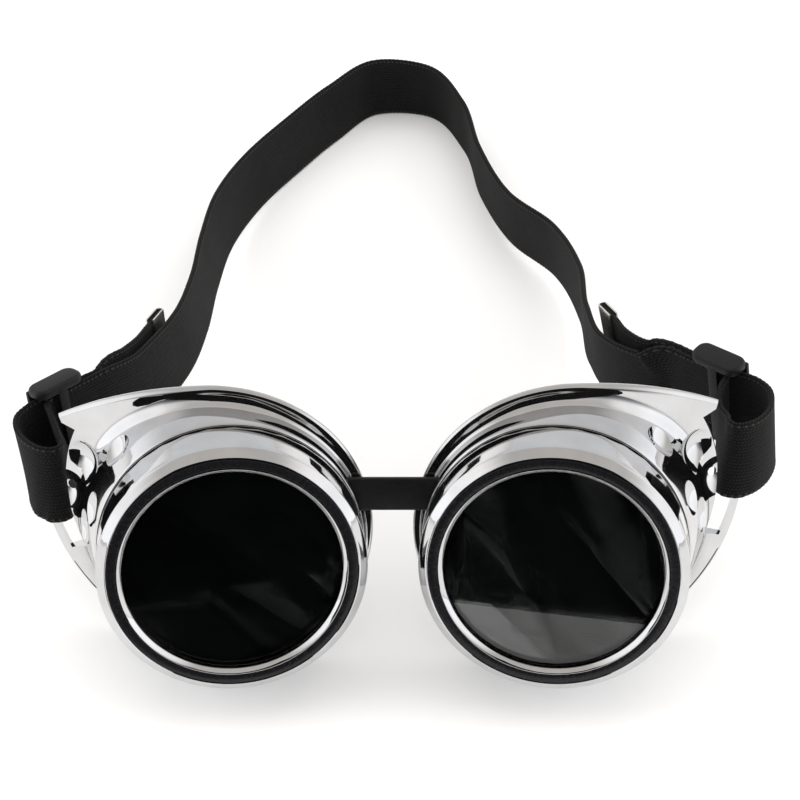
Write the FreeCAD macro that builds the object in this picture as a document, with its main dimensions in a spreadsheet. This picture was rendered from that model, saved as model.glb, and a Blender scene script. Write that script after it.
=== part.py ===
import FreeCAD, Part
import math
import os
from FreeCAD import Matrix, Placement, Rotation, Vector

# Round-lens welding goggles, lying on a table with the strap standing on its edge behind them.
# Row frame: millimetres, +Z up, X across the goggles, the lenses face -Y. The origin is on the
# table, midway between the eyes, straight below the line that joins the two lens faces' centres.
#
# Each eye has a local frame: X towards the temple (towards the nose on the left eye), Y up the
# lens, Z out along the lens axis, with its origin at the centre of the ring's front face. Depths
# behind that face are positive in the sheet and negative along local Z.

DIMENSIONS = [
    # alias, value, meaning
    ("eye_spacing", 67.8, "between the two lens centres"),
    ("lens_height", 38.27, "lens centre above the table"),
    ("toe_in", 7.0, "each lens axis turns this far towards the middle, degrees"),
    ("lens_rise", 18.6, "each lens axis points this far above level, degrees"),
    ("aperture_radius", 23.5, "clear opening of the retaining ring"),
    ("ring_radius", 28.9, "outside of the retaining ring"),
    ("ring_length", 12.0, "front face to back edge of the ring"),
    ("bevel_radius", 26.9, "front face of the ring, where its bevel starts"),
    ("bevel_depth", 1.6, "depth of the bevel"),
    ("groove_inner", 24.6, "groove for the black inlay"),
    ("groove_outer", 26.8, "groove for the black inlay"),
    ("groove_depth", 0.9, "groove for the black inlay"),
    ("inlay_play", 0.05, "inlay to groove, each side"),
    ("lip_depth", 1.9, "thickness of the lip that holds the lenses"),
    ("seat_radius", 25.25, "bore that the lenses drop into"),
    ("seat_end", 5.9, "depth where the lens bore opens into the threaded bore"),
    ("thread_bore", 27.2, "threaded bore of the ring"),
    ("lens_radius", 25.0, "50 mm round lens"),
    ("lens_bevel", 0.3, "ground edge of a lens"),
    ("lens_start", 1.95, "front of the cover lens"),
    ("cover_thickness", 1.5, "clear cover lens"),
    ("filter_thickness", 2.0, "dark filter lens"),
    ("gasket_thickness", 0.8, "lens gasket"),
    ("gasket_bore", 22.5, "inner radius of the lens gasket"),
    ("collar_start", 6.3, "front edge of the cup's threaded collar"),
    ("collar_outer", 26.8, "collar at the crest of its thread"),
    ("collar_inner", 23.8, "bore of the collar"),
    ("shoulder_start", 12.6, "front of the cup's shoulder"),
    ("shoulder_radius", 29.3, "outside of the shoulder"),
    ("flare_start", 13.2, "depth where the cup's wall begins to flare"),
    ("flare_end", 48.0, "depth of the oval that the flare is drawn to"),
    ("flare_major", 35.3, "half width of that oval"),
    ("flare_minor", 34.0, "half height of that oval"),
    ("flare_shift", 1.2, "that oval's centre is this far towards the temple"),
    ("wall", 1.8, "thickness of the cup's wall"),
    ("shoulder_wall", 1.6, "thickness of the shoulder"),
    ("rim_curve", 150.0, "radius of the cylinder that the face edge follows"),
    ("rim_shift", -36.8, "that cylinder's axis, towards the temple"),
    ("rim_depth", 18.9, "depth of the cylinder's nearest line"),
    ("rim_thickness", 2.2, "thickness of the flange at the face edge"),
    ("flange_round", 33.0, "radius of the flange round the nose half"),
    ("flange_round_up", 1.3, "height of that circle's centre"),
    ("flange_ear", 39.6, "radius of the flange round the temple"),
    ("flange_ear_up", 7.4, "height of that circle's centre"),
    ("flange_brow", 75.0, "radius of the flange along the brow"),
    ("flange_top", 34.3, "top of the flange"),
    ("slot_inner", 33.9, "strap slot, radius from the ear circle's centre"),
    ("slot_outer", 37.7, "strap slot, radius from the ear circle's centre"),
    ("slot_low", -22.0, "lower end of the strap slot, degrees"),
    ("slot_high", 28.0, "upper end of the strap slot, degrees"),
    ("throat_low", 7.0, "free end of the ear's bar, degrees"),
    ("vent_radius", 3.0, "vent hole"),
    ("bridge_height", 7.8, "rubber nose bridge, up the face"),
    ("bridge_thickness", 1.2, "rubber nose bridge"),
    ("bridge_up", 8.75, "centre of the bridge above the lens axis"),
    ("bridge_depth", 15.7, "depth of the bridge behind the ring's face"),
    ("bridge_slot_play", 0.55, "slot to bridge, each side"),
    ("bridge_slot_out", 28.7, "middle of the wall at the bridge's slot, from the lens axis"),
    ("head_height", 10.4, "head at each end of the bridge"),
    ("head_thickness", 3.0, "head at each end of the bridge"),
    ("head_length", 2.4, "head at each end of the bridge"),
    ("head_slope", 17.4, "head's tilt, to lie along the cup's wall, degrees"),
    ("head_inset", 5.2, "centre of the head behind the wall slot"),
    ("strap_width", 19.0, "elastic strap"),
    ("strap_thickness", 1.3, "elastic strap"),
    ("layer_gap", 0.4, "between the strap's two layers in the slider"),
    ("slider_length", 13.0, "slider, along the strap"),
    ("slider_rail", 2.6, "slider's side rails, across the strap"),
    ("slider_bar", 1.1, "thickness of the slider's bars"),
    ("slider_bar_width", 2.6, "width of the slider's bars, along the strap"),
    ("slider_play", 0.3, "strap to slider, each side"),
    ("slider_travel", 5.0, "slider's travel back along the strap's straight stretch"),
    ("slider_lead", 2.0, "the strap stays straight this far beyond the slider's travel"),
    ("inner_start", 2.0, "the inner layer is straight from this far before the slider's middle"),
    ("tip_length", 7.0, "metal tip, along the strap"),
    ("tip_metal", 0.4, "thickness of the tip's sheet metal"),
    ("tip_play", 0.1, "tip to strap, each side"),
]

# Vent holes in the temple side: turn about the lens axis from level, and depth.
VENTS = [(45.0, 21.6), (28.0, 27.6), (12.5, 31.2), (18.6, 18.9), (3.6, 25.0)]

# The strap's middle line, left to right round the back, from one slider's straight stretch to the
# other's: x, y, height, and how far its top edge leans to the right of the travel, degrees.
STRAP_BACK = [
    (-65.2, 64.0, 30.6, -11), (-61.4, 70.0, 28.4, -10), (-57.6, 79.0, 26.6, -9),
    (-53.4, 94.0, 23.0, -8), (-51.0, 114.0, 19.0, -8), (-50.0, 136.0, 16.0, -9),
    (-47.5, 159.0, 13.0, -10), (-40.5, 181.0, 10.5, -10), (-30.0, 200.0, 9.6, -9),
    (-18.4, 217.0, 9.6, -8), (-6.0, 230.5, 9.6, -4), (10.2, 228.5, 9.6, 3),
    (20.6, 209.8, 9.6, 5), (25.0, 186.0, 9.6, 5), (32.5, 163.0, 10.6, 7),
    (43.8, 143.2, 14.0, 7), (49.0, 120.0, 18.0, 5), (49.4, 97.0, 23.0, 7),
    (52.4, 81.0, 27.0, 10), (57.4, 72.8, 30.0, 9), (62.6, 68.4, 33.2, 8),
]

# Each slider: its centre, the direction in which the strap runs back through it, and its lean.
SLIDERS = {
    -1: {"centre": (-77.0, 52.6, 32.4), "heading": 46.0, "lean": -12.0},
    1: {"centre": (76.6, 58.0, 37.0), "heading": 137.0, "lean": -6.0},
}

# The strap from the slider's outer layer forward round the ear's bar, through the slot and back
# to its inner layer: x, y, height, lean to the right of the travel.
LOOPS = {
    -1: [
        (-84.6, 45.0, 32.2, 10), (-85.5, 41.0, 32.4, 6), (-84.5, 36.8, 32.7, -2),
        (-82.3, 32.9, 33.1, -10), (-79.8, 29.9, 33.6, -16), (-77.6, 28.3, 33.9, -18),
        (-75.7, 29.3, 33.5, -14), (-74.4, 32.1, 32.7, -9), (-74.0, 35.1, 32.2, -8),
        (-74.1, 38.2, 31.9, -8), (-75.2, 42.5, 32.2, -10), (-76.7, 47.6, 33.3, -12),
    ],
    1: [
        (84.6, 50.8, 37.2, 7), (86.4, 46.6, 37.6, 7), (86.2, 42.0, 38.2, 8),
        (84.2, 37.8, 38.8, 10), (81.7, 34.2, 39.2, 14), (79.3, 31.2, 39.6, 17),
        (77.5, 30.3, 39.7, 18), (76.0, 31.4, 39.5, 14), (74.9, 34.1, 38.7, 9),
        (74.2, 37.2, 37.9, 5), (74.3, 40.9, 37.3, 0), (74.4, 45.4, 36.7, -4),
        (75.3, 49.9, 36.5, -6),
    ],
}
# The loose end, from the slider's outer layer back to where the metal tip begins.
TAILS = {
    -1: [(-67.4, 65.4, 31.2, -11), (-64.2, 71.4, 29.2, -10), (-61.4, 78.4, 27.0, -9),
         (-59.4, 85.6, 25.2, -9)],
    1: [(64.8, 70.8, 34.2, -8), (60.4, 75.0, 32.0, -9), (57.4, 79.8, 30.0, -9),
        (55.8, 84.4, 28.8, -8)],
}
SIDE_NAMES = {-1: "left", 1: "right"}

doc = FreeCAD.newDocument("WeldingGoggles")
sheet = doc.addObject("Spreadsheet::Sheet", "dims")
for row, (alias, value, meaning) in enumerate(DIMENSIONS, start=1):
    sheet.set("A%d" % row, meaning)
    sheet.set("B%d" % row, str(value))
    sheet.setAlias("B%d" % row, alias)
doc.recompute()


def dim(alias):
    """A number from the sheet, for the few shapes that expressions can't reach."""
    return float(sheet.get(alias))


def bind(item, **expressions):
    """Bind properties to the sheet. A double underscore in a name stands for a dot."""
    for name, expression in expressions.items():
        item.setExpression(name.replace("__", "."), expression)
    return item


def cylinder(name, radius, front, back, x="0", y="0"):
    """A cylinder along the lens axis, from one depth to another."""
    item = doc.addObject("Part::Cylinder", name)
    return bind(item, Radius=radius, Height="(%s) - (%s)" % (back, front),
                Placement__Base__x=x, Placement__Base__y=y, Placement__Base__z="-(%s)" % back)


def cut(name, base, tools):
    """The base without the tools, one after another."""
    for number, tool in enumerate(tools):
        result = doc.addObject("Part::Cut", "%s_cut%d" % (name, number))
        result.Base = base
        result.Tool = tool
        base = result
    return base


def fuse(name, shapes):
    result = doc.addObject("Part::MultiFuse", name)
    result.Shapes = shapes
    return result


def common(name, shapes):
    result = doc.addObject("Part::MultiCommon", name)
    result.Shapes = shapes
    return result


def tube(name, outer, inner, front, back):
    """A ring of rectangular section round the lens axis."""
    body = cylinder(name + "_body", outer, front, back)
    bore = cylinder(name + "_bore", inner, front + " - 1", back + " + 1")
    return cut(name, body, [bore])


def at_frame(origin, x_axis, y_axis, z_axis):
    """The placement that carries local axes onto three given directions."""
    return Placement(Matrix(
        x_axis.x, y_axis.x, z_axis.x, origin.x,
        x_axis.y, y_axis.y, z_axis.y, origin.y,
        x_axis.z, y_axis.z, z_axis.z, origin.z,
        0, 0, 0, 1))


def eye_frame(side):
    """Placement of one eye's local frame. Side is +1 for the right eye and -1 for the left."""
    toe = math.radians(dim("toe_in")) * side
    rise = math.radians(dim("lens_rise"))
    across = Vector(math.cos(toe), -math.sin(toe), 0)
    out = Vector(-math.sin(toe) * math.cos(rise), -math.cos(toe) * math.cos(rise), math.sin(rise))
    centre = Vector(side * dim("eye_spacing") / 2, 0, dim("lens_height"))
    return at_frame(centre, across, out.cross(across), out)


def retaining_ring(name):
    """The screw ring: bevelled band, lip with a groove for the inlay, lens bore, thread bore."""
    band = cylinder(name + "_band", "dims.ring_radius", "dims.bevel_depth", "dims.ring_length")
    bevel = bind(doc.addObject("Part::Cone", name + "_bevel"), Radius1="dims.ring_radius",
                 Radius2="dims.bevel_radius", Height="dims.bevel_depth",
                 Placement__Base__z="-dims.bevel_depth")
    solid = fuse(name + "_solid", [band, bevel])
    aperture = cylinder(name + "_aperture", "dims.aperture_radius", "-1", "dims.ring_length")
    groove = tube(name + "_groove", "dims.groove_outer", "dims.groove_inner", "0 - 1",
                  "dims.groove_depth")
    seat = cylinder(name + "_seat", "dims.seat_radius", "dims.lip_depth", "dims.ring_length")
    bore = cylinder(name + "_bore", "dims.thread_bore", "dims.seat_end", "dims.ring_length + 1")
    return cut(name, solid, [aperture, groove, seat, bore])


def lens(name, front, back):
    """A round lens with the edge of its front face ground to a bevel."""
    edge = "%s + dims.lens_bevel" % front
    body = cylinder(name + "_body", "dims.lens_radius", edge, back)
    bevel = bind(doc.addObject("Part::Cone", name + "_bevel"), Radius1="dims.lens_radius",
                 Radius2="dims.lens_radius - dims.lens_bevel", Height="dims.lens_bevel",
                 Placement__Base__z="-(%s)" % edge)
    return fuse(name, [body, bevel])


def flange_plate(name):
    """The lip round the face edge: a curved plate with a round nose half and a temple ear."""
    front = "dims.rim_depth - 12"
    back = "dims.flare_end"
    nose = cylinder(name + "_nose", "dims.flange_round", front, back,
                    "dims.flare_shift", "dims.flange_round_up")
    ear = cylinder(name + "_ear", "dims.flange_ear", front, back,
                   "dims.flare_shift", "dims.flange_ear_up")
    brow = cylinder(name + "_brow", "dims.flange_brow", front, back,
                    "dims.flare_shift", "dims.flange_top - dims.flange_brow")
    half = bind(doc.addObject("Part::Box", name + "_half"), Length="dims.flange_ear + 5",
                Width="4 * dims.flange_ear", Height="dims.flare_end",
                Placement__Base__x="dims.flare_shift", Placement__Base__y="-2 * dims.flange_ear",
                Placement__Base__z="-dims.flare_end")
    outline = fuse(name + "_outline", [nose, common(name + "_temple", [ear, brow, half])])
    band = rim_cylinder(name + "_band", "dims.rim_curve + dims.rim_thickness")
    return common(name, [outline, band])


def rim_cylinder(name, radius):
    """A cylinder along the eye's local Y, whose nearest line is the face edge's nearest line."""
    item = doc.addObject("Part::Cylinder", name)
    item.Placement.Rotation = Rotation(Vector(1, 0, 0), -90)
    return bind(item, Radius=radius, Height="4 * dims.flange_ear",
                Placement__Base__x="dims.rim_shift", Placement__Base__y="-2 * dims.flange_ear",
                Placement__Base__z="-(dims.rim_depth + dims.rim_curve)")


def flare(name, start, radius, inset):
    """A flared wall's solid, from the shoulder's circle to the oval behind the face edge."""
    circle = bind(doc.addObject("Part::Circle", name + "_circle"), Radius=radius,
                  Placement__Base__z="-(%s)" % start)
    oval = bind(doc.addObject("Part::Ellipse", name + "_oval"),
                MajorRadius="dims.flare_major - (%s)" % inset,
                MinorRadius="dims.flare_minor - (%s)" % inset,
                Placement__Base__x="dims.flare_shift", Placement__Base__z="-dims.flare_end")
    loft = doc.addObject("Part::Loft", name)
    loft.Sections = [circle, oval]
    loft.Solid = True
    loft.Ruled = True
    return loft


def sector(name, outer, inner, low, high):
    """Part of a ring round the ear circle's centre, between two angles, through the flange."""
    disc = bind(doc.addObject("Part::Cylinder", name + "_disc"), Radius=outer, Height="30",
                Angle="(%s) - (%s)" % (high, low), Placement__Base__x="dims.flare_shift",
                Placement__Base__y="dims.flange_ear_up", Placement__Base__z="-dims.flare_end")
    disc.Placement.Rotation = Rotation(Vector(0, 0, 1), dim(low.replace("dims.", "")))
    core = cylinder(name + "_core", inner, "dims.flare_end - 31", "dims.flare_end + 1",
                    "dims.flare_shift", "dims.flange_ear_up")
    return cut(name, disc, [core])


def vent(number, turn, depth):
    """A round hole through the wall, square to the lens axis."""
    item = doc.addObject("Part::Cylinder", "vent%d" % number)
    direction = Vector(math.cos(math.radians(turn)), math.sin(math.radians(turn)), 0)
    item.Placement = Placement(direction * dim("collar_inner") + Vector(0, 0, -depth),
                               Rotation(Vector(0, 0, 1), direction))
    return bind(item, Radius="dims.vent_radius", Height="20")


def cup_shell():
    """One cup in the right eye's local frame."""
    collar = cylinder("cup_collar", "dims.collar_outer", "dims.collar_start", "dims.flare_start")
    shoulder = cylinder("cup_shoulder", "dims.shoulder_radius", "dims.shoulder_start",
                        "dims.flare_start")
    wall = flare("cup_wall", "dims.flare_start", "dims.shoulder_radius", "0")
    outside = fuse("cup_outside", [collar, shoulder, wall, flange_plate("cup_flange")])
    bore = cylinder("cup_bore", "dims.collar_inner", "dims.collar_start - 1",
                    "dims.flare_start + dims.wall")
    hollow = flare("cup_hollow", "dims.shoulder_start + dims.shoulder_wall",
                   "dims.shoulder_radius - dims.wall", "dims.wall")
    face = rim_cylinder("cup_face", "dims.rim_curve")
    slot = sector("cup_slot", "dims.slot_outer", "dims.slot_inner", "dims.slot_low",
                  "dims.slot_high")
    throat = sector("cup_throat", "dims.flange_ear + 5", "dims.slot_inner", "dims.throat_low",
                    "dims.slot_high")
    bridge_slot = bind(doc.addObject("Part::Box", "cup_bridge_slot"), Length="12",
                       Width="dims.bridge_height + 2 * dims.bridge_slot_play",
                       Height="dims.bridge_thickness + 2 * dims.bridge_slot_play",
                       Placement__Base__x="-dims.shoulder_radius - 6",
                       Placement__Base__y="dims.bridge_up - dims.bridge_height / 2"
                                          " - dims.bridge_slot_play",
                       Placement__Base__z="-(dims.bridge_depth + dims.bridge_thickness / 2"
                                          " + dims.bridge_slot_play)")
    vents = [vent(number, turn, depth) for number, (turn, depth) in enumerate(VENTS)]
    return cut("cup", outside, [bore, hollow, face, slot, throat, bridge_slot] + vents)


def eye_cup(side):
    """The right cup, or its mirror image."""
    shell = cup_shell()
    if side > 0:
        return shell
    mirror = doc.addObject("Part::Mirroring", "cup_mirror")
    mirror.Source = shell
    mirror.Normal = (1, 0, 0)
    return mirror


def cross_section(point, travel, lean, width, thickness):
    """A rectangle across the strap, leaning to the right of its travel."""
    travel = Vector(travel).normalize()
    up = (Vector(0, 0, 1) - travel * travel.z).normalize()
    right = travel.cross(up)
    lean = math.radians(lean)
    rise = up * math.cos(lean) + right * math.sin(lean)
    across = travel.cross(rise)
    corners = [point + rise * (width / 2 * a) + across * (thickness / 2 * b)
               for a, b in ((1, 1), (1, -1), (-1, -1), (-1, 1))]
    return Part.makePolygon(corners + corners[:1])


def ribbon(name, stations, first=None, last=None):
    """A flat strap through stations of x, y, height and lean."""
    width = dim("strap_width")
    thickness = dim("strap_thickness")
    points = [Vector(x, y, height) for x, y, height, lean in stations]
    sections = []
    for number, point in enumerate(points):
        before = points[max(number - 1, 0)]
        after = points[min(number + 1, len(points) - 1)]
        travel = after - before
        if number == 0 and first is not None:
            travel = first
        if number == len(points) - 1 and last is not None:
            travel = last
        sections.append(cross_section(point, travel, stations[number][3], width, thickness))
    faces = [Part.Face(sections[0]), Part.Face(sections[-1])]
    for near, far in zip(sections, sections[1:]):
        faces += [Part.makeRuledSurface(a, b, 1) for a, b in zip(near.Edges, far.Edges)]
    solid = Part.Solid(Part.Shell(faces))
    if solid.Volume < 0:
        solid.reverse()
    item = doc.addObject("Part::Feature", name)
    item.Shape = solid
    return item


def slider_frame(side):
    """A slider's local frame: X back along the strap, Z up the strap's width."""
    spec = SLIDERS[side]
    heading = math.radians(spec["heading"])
    lean = math.radians(spec["lean"])
    travel = Vector(math.cos(heading), math.sin(heading), 0)
    right = travel.cross(Vector(0, 0, 1))
    rise = Vector(0, 0, 1) * math.cos(lean) + right * math.sin(lean)
    return at_frame(Vector(*spec["centre"]), travel, rise.cross(travel), rise)


def strap_slider(name, side):
    """Two side rails joined by three bars: two outside the strap's layers and one inside."""
    channel = "(dims.strap_thickness + dims.layer_gap / 2 + dims.slider_play)"
    half_width = "(dims.strap_width / 2 + dims.slider_play)"
    above = channel
    below = "-(%s + dims.slider_bar)" % channel
    outside, inside = (above, below) if side < 0 else (below, above)
    parts = []
    for label, low in (("top", half_width), ("bottom", "-%s - dims.slider_rail" % half_width)):
        rail = doc.addObject("Part::Box", "%s_%s" % (name, label))
        parts.append(bind(rail, Length="dims.slider_length",
                          Width="2 * (%s + dims.slider_bar)" % channel, Height="dims.slider_rail",
                          Placement__Base__x="-dims.slider_length / 2",
                          Placement__Base__y=below, Placement__Base__z=low))
    places = [("front", "-dims.slider_length / 2", outside),
              ("middle", "-dims.slider_bar_width / 2", inside),
              ("rear", "dims.slider_length / 2 - dims.slider_bar_width", outside)]
    for label, along, across in places:
        bar = doc.addObject("Part::Box", "%s_%s" % (name, label))
        parts.append(bind(bar, Length="dims.slider_bar_width", Width="dims.slider_bar",
                          Height="2 * %s + 2 * dims.slider_rail" % half_width,
                          Placement__Base__x=along, Placement__Base__y=across,
                          Placement__Base__z="-%s - dims.slider_rail" % half_width))
    return fuse(name + "_solid", parts)


def slider_point(side, along, layer):
    """A point on the strap inside a slider. Layer is +1 for the outer one, -1 for the inner."""
    offset = (dim("strap_thickness") + dim("layer_gap")) / 2 * layer * -side
    return slider_frame(side).multVec(Vector(along, offset, 0))


def straight(side, starts, ends, layer):
    """The strap's stations along one layer inside a slider."""
    lean = SLIDERS[side]["lean"] * (1 if ends > starts else -1)
    points = [slider_point(side, along, layer) for along in (starts, ends)]
    return [(point.x, point.y, point.z, lean) for point in points]


def tail_end(side):
    """The loose end's last straight stretch: where it starts, where it ends, and its lean."""
    before = Vector(*TAILS[side][-2][:3])
    start = Vector(*TAILS[side][-1][:3])
    travel = (start - before).normalize()
    return start, start + travel * (dim("tip_length") + dim("tip_play")), TAILS[side][-1][3]


def strap_end(name, side):
    """The loose end, the outer layer, the loop round the ear and the inner layer, in one piece."""
    start, end, lean = tail_end(side)
    tail = [(end.x, end.y, end.z, -lean)]
    tail += [(x, y, height, -lean) for x, y, height, lean in reversed(TAILS[side])]
    front = -dim("slider_length") / 2 - dim("slider_play")
    rear = dim("slider_length") / 2 + dim("slider_travel") + dim("slider_lead")
    stations = tail + straight(side, rear, front, 1) + LOOPS[side]
    stations += straight(side, -dim("inner_start"), rear, -1)
    return ribbon(name, stations)


def strap_back():
    """The strap from one slider round the back of the head to the other."""
    rear = dim("slider_length") / 2 + dim("slider_travel") + dim("slider_lead")
    first = straight(-1, -1, rear, -1)[1:]
    last = straight(1, rear, -1, -1)[:1]
    ahead = slider_frame(-1).Rotation.multVec(Vector(1, 0, 0))
    ending = slider_frame(1).Rotation.multVec(Vector(-1, 0, 0))
    return ribbon("strap_back_body", first + STRAP_BACK + last, ahead, ending)


def strap_tip(name, side):
    """A folded metal tip: a box open at one end, closed over the strap's loose end."""
    start, end, lean = tail_end(side)
    travel = (end - start).normalize()
    up = (Vector(0, 0, 1) - travel * travel.z).normalize()
    lean = math.radians(lean)
    rise = up * math.cos(lean) + travel.cross(up) * math.sin(lean)
    metal = "dims.tip_metal"
    play = "dims.tip_play"
    outer = bind(doc.addObject("Part::Box", name + "_outer"), Length="dims.tip_length",
                 Width="dims.strap_thickness + 2 * (%s + %s)" % (metal, play),
                 Height="dims.strap_width + 2 * %s" % metal,
                 Placement__Base__x="-dims.tip_length + %s + %s" % (metal, play),
                 Placement__Base__y="-dims.strap_thickness / 2 - %s - %s" % (metal, play),
                 Placement__Base__z="-dims.strap_width / 2 - %s" % metal)
    hollow = bind(doc.addObject("Part::Box", name + "_hollow"), Length="dims.tip_length",
                  Width="dims.strap_thickness + 2 * %s" % play,
                  Height="dims.strap_width + 4 * %s" % metal,
                  Placement__Base__x="-dims.tip_length + %s" % play,
                  Placement__Base__y="-dims.strap_thickness / 2 - %s" % play,
                  Placement__Base__z="-dims.strap_width / 2 - 2 * %s" % metal)
    return cut(name, outer, [hollow]), at_frame(end, travel, rise.cross(travel), rise)


def nose_bridge():
    """A flat rubber strip through both cups' nose slots, with a head inside each cup."""
    slot = eye_frame(1).multVec(Vector(-dim("bridge_slot_out"), dim("bridge_up"),
                                       -dim("bridge_depth")))
    half = slot.x + dim("head_inset")
    strip = bind(doc.addObject("Part::Box", "bridge_strip"), Width="dims.bridge_thickness",
                 Height="dims.bridge_height", Placement__Base__y="-dims.bridge_thickness / 2",
                 Placement__Base__z="-dims.bridge_height / 2")
    strip.Length = 2 * half
    strip.Placement.Base.x = -half
    parts = [strip]
    for side in (-1, 1):
        head = bind(doc.addObject("Part::Box", "bridge_head_%s" % SIDE_NAMES[side]),
                    Length="dims.head_length", Width="dims.head_thickness",
                    Height="dims.head_height")
        turn = Rotation(Vector(0, 1, 0), side * dim("head_slope"))
        corner = Vector(dim("head_length"), dim("head_thickness"), dim("head_height")) * -0.5
        head.Placement = Placement(Vector(side * half, 0, 0) + turn.multVec(corner), turn)
        parts.append(head)
    tilt = Rotation(Vector(1, 0, 0), -dim("lens_rise"))
    return fuse("bridge_solid", parts), Placement(Vector(0, slot.y, slot.z), tilt)


def keep(item, label, placement=Placement()):
    """Name a finished sub-part's node and put it in place."""
    item.Label = label
    item.Placement = placement
    NODES.append(item)


NODES = []
bridge, bridge_place = nose_bridge()
keep(bridge, "nose_bridge", bridge_place)
keep(strap_back(), "strap_back")
for side, side_name in SIDE_NAMES.items():
    eye = eye_frame(side)
    keep(eye_cup(side), "eye_cup_" + side_name, eye)
    keep(retaining_ring("ring_" + side_name), "retaining_ring_" + side_name, eye)
    keep(tube("inlay_" + side_name, "dims.groove_outer - dims.inlay_play",
              "dims.groove_inner + dims.inlay_play", "dims.inlay_play", "dims.groove_depth"),
         "bezel_inlay_" + side_name, eye)
    cover_end = "dims.lens_start + dims.cover_thickness"
    filter_end = cover_end + " + dims.filter_thickness"
    keep(lens("cover_" + side_name, "dims.lens_start", cover_end), "cover_lens_" + side_name, eye)
    keep(lens("filter_" + side_name, cover_end, filter_end), "filter_lens_" + side_name, eye)
    keep(tube("gasket_" + side_name, "dims.lens_radius", "dims.gasket_bore", filter_end,
              filter_end + " + dims.gasket_thickness"), "lens_gasket_" + side_name, eye)
    keep(strap_end("strap_end_body_" + side_name, side), "strap_end_" + side_name)
    keep(strap_slider("slider_" + side_name, side), "strap_slider_" + side_name,
         slider_frame(side))
    tip, tip_place = strap_tip("tip_" + side_name, side)
    keep(tip, "strap_tip_" + side_name, tip_place)

doc.recompute()
failed = [item.Name for item in doc.Objects if {"Invalid", "Error"} & set(item.State)]
if failed:
    raise RuntimeError("failed objects: " + ", ".join(failed))
os.makedirs("parts", exist_ok=True)
for item in NODES:
    if item.Shape.isNull() or not item.Shape.isValid():
        raise RuntimeError("bad shape: " + item.Label)
    item.Shape.exportStep("parts/%s.step" % item.Label)
    box = item.Shape.BoundBox
    print("%-22s solids %d volume %8.0f  z %.2f..%.2f" % (
        item.Label, len(item.Shape.Solids), item.Shape.Volume, box.ZMin, box.ZMax))
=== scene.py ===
"""Round-lens welding goggles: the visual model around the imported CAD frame.

Lengths in the tables below are millimetres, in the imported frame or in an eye's local frame
(X towards the temple, Y up the lens, depth behind the ring's front face).
"""

import math

import bmesh
import bpy
import numpy as np
from mathutils import Matrix, Vector


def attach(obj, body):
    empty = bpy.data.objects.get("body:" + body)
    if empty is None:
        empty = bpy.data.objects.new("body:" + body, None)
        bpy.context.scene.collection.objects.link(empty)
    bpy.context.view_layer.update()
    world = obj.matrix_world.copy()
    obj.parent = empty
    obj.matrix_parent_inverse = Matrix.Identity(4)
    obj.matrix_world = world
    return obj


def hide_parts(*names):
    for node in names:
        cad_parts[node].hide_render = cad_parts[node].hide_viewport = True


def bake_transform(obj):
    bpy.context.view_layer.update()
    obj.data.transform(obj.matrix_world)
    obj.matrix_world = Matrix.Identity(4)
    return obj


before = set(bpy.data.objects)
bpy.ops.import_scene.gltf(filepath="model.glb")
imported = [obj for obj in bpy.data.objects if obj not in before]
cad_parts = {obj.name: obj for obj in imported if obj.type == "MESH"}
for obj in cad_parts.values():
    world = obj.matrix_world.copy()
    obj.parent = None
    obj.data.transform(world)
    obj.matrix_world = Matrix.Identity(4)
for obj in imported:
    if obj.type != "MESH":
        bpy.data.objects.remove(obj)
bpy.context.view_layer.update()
MM = 0.001
SIDES = {"left": -1, "right": 1}

EYE_SPACING = 67.8
LENS_HEIGHT = 38.27
TOE_IN = math.radians(7.0)
LENS_RISE = math.radians(18.6)

# One eye: the collar under the ring, the shoulder, the flaring wall and the face edge.
COLLAR_OUTER = 26.8
COLLAR_INNER = 23.8
COLLAR_START = 6.3
SHOULDER_RADIUS = 29.3
FLARE_START = 13.2
FLARE_END = 48.0
FLARE_GROW = (6.0, 4.7)
FLARE_SHIFT = 1.2
WALL = 1.8
HOLLOW_START = 14.2
RIM_AXIS = 36.8
RIM_FRONT = 152.2
RIM_BACK = 150.0
RIM_BASE = 168.9
EAR_CENTRE = (1.2, 7.4)
EAR_RADIUS = 39.6
BROW_RADIUS = 75.0
FLANGE_TOP = 34.3
ROUND_CENTRE = (1.2, 1.3)
ROUND_RADIUS = 33.0
OUTLINE_MIDDLE = (FLARE_SHIFT, 4.0)
EAR_TIP = (36.4, 25.52)
# The strap slot: its two radii round the ear's centre and its two end angles, degrees. The throat
# opens it to the outside, from a lower angle up to the slot's end.
SLOT = (33.9, 37.7, -22.0, 28.0)
THROAT_LOW = 7.0
CUT_SPAN = (-52.0, -22.0)
# Each vent's angle round the lens axis, degrees, and its depth.
VENTS = [(45.0, 21.6), (28.0, 27.6), (13.0, 31.2), (18.6, 18.9), (6.0, 24.0)]
# A vent's dish: radius at the wall, and how deep it is. The opening in it: half sizes and shift.
VENT_DISH = (4.0, 1.45)
VENT_OPENING = (1.1, 1.5)
VENT_OPENING_SHIFT = (0.4, 1.5)
# The cut that leaves the ear's lower tip blunt, and where the collar and shoulder under the ring
# are painted near black: painted shade in the gap between ring and cup.
BLUNT_TIP = [(34.9, 29.0), (33.7, 24.0), (40.0, 24.0), (40.0, 29.0)]
SHADE_GAP_REACH = (25.2, 28.4)
SHADE_GAP_DEPTH = (6.4, 12.75)
# Each cup's roll about its lens axis, anticlockwise as the viewer sees it, degrees.
CUP_ROLL = {"left": 2.4, "right": 2.8}

# The nose bridge: the middle of its slot in the cup, its half sizes, the head beyond the slot.
BRIDGE_SLOT = (-28.7, 8.75, -15.7)
BRIDGE_TALL = 3.9
BRIDGE_THICK = 0.6
BRIDGE_PLAY = 0.3
BRIDGE_INSET = 5.2
HEAD_LENGTH = 1.3
HEAD_SLOPE = math.tan(math.radians(17.4))

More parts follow.
